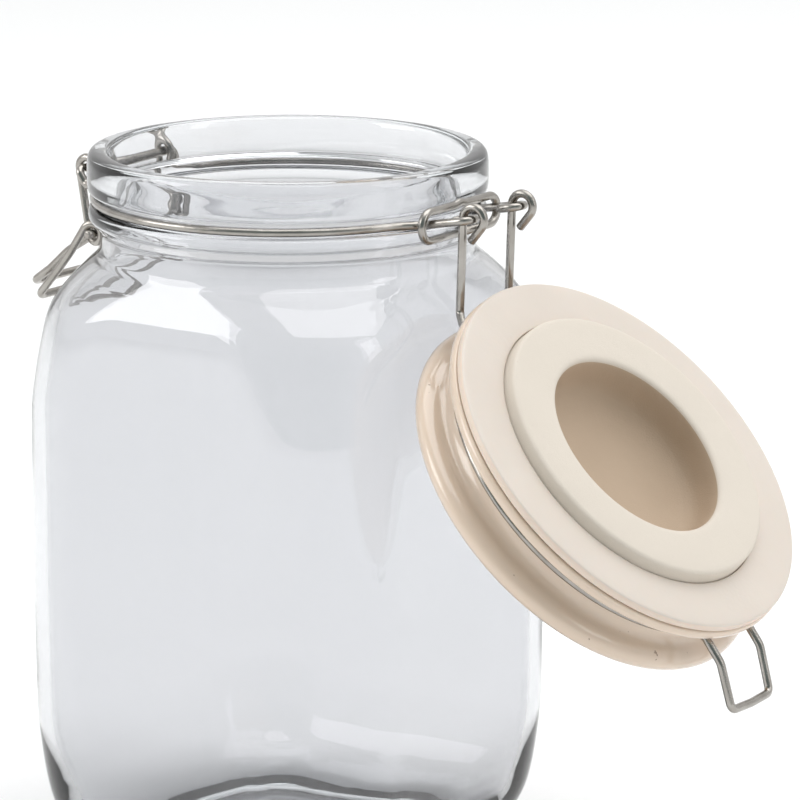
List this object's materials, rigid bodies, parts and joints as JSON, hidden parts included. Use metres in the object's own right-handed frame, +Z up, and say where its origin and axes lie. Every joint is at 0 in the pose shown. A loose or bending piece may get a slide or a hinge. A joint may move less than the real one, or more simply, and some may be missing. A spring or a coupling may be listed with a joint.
{
  "type": "lidded glass canister",
  "caption": "Squared glass storage jar with a stoneware lid hinged on a wire bail, a soft gasket and a wire lever latch.",
  "frame": {"origin": "middle of the base, on the table", "axes": "+Z up through the mouth, +Y towards the hinge, -Y towards the latch, X along the hinge line"},
  "size_m": [0.108, 0.2116, 0.184],
  "materials": {
    "glass": "clear, smooth",
    "stoneware": "cream glaze, unglazed matt boss face",
    "gasket": "satin, slightly translucent silicone",
    "wire": "bright drawn stainless"
  },
  "bodies": {
    "jar": {"glass_jar": "glass", "neck_wire": "wire", "hinge_link": "wire"},
    "lid": {"ceramic_lid": "stoneware", "gasket": "gasket", "lid_wire": "wire"},
    "lever": {"lever": "wire"},
    "link": {"latch_link": "wire"}
  },
  "joints": [
    {"name": "lid_hinge", "type": "hinge", "parent": "jar", "child": "lid", "pos_m": [0, 0.063, 0.1745], "axis": [1, 0, 0], "range_deg": [0, 225.8]},
    {"name": "lever_pivot", "type": "hinge", "parent": "jar", "child": "lever", "pos_m": [0, -0.0528, 0.1755], "axis": [1, 0, 0], "range_deg": [-90, 0]},
    {"name": "link_pivot", "type": "hinge", "parent": "lever", "child": "link", "pos_m": [0, -0.05, 0.159], "axis": [1, 0, 0], "range_deg": [-70, 0]}
  ]
}
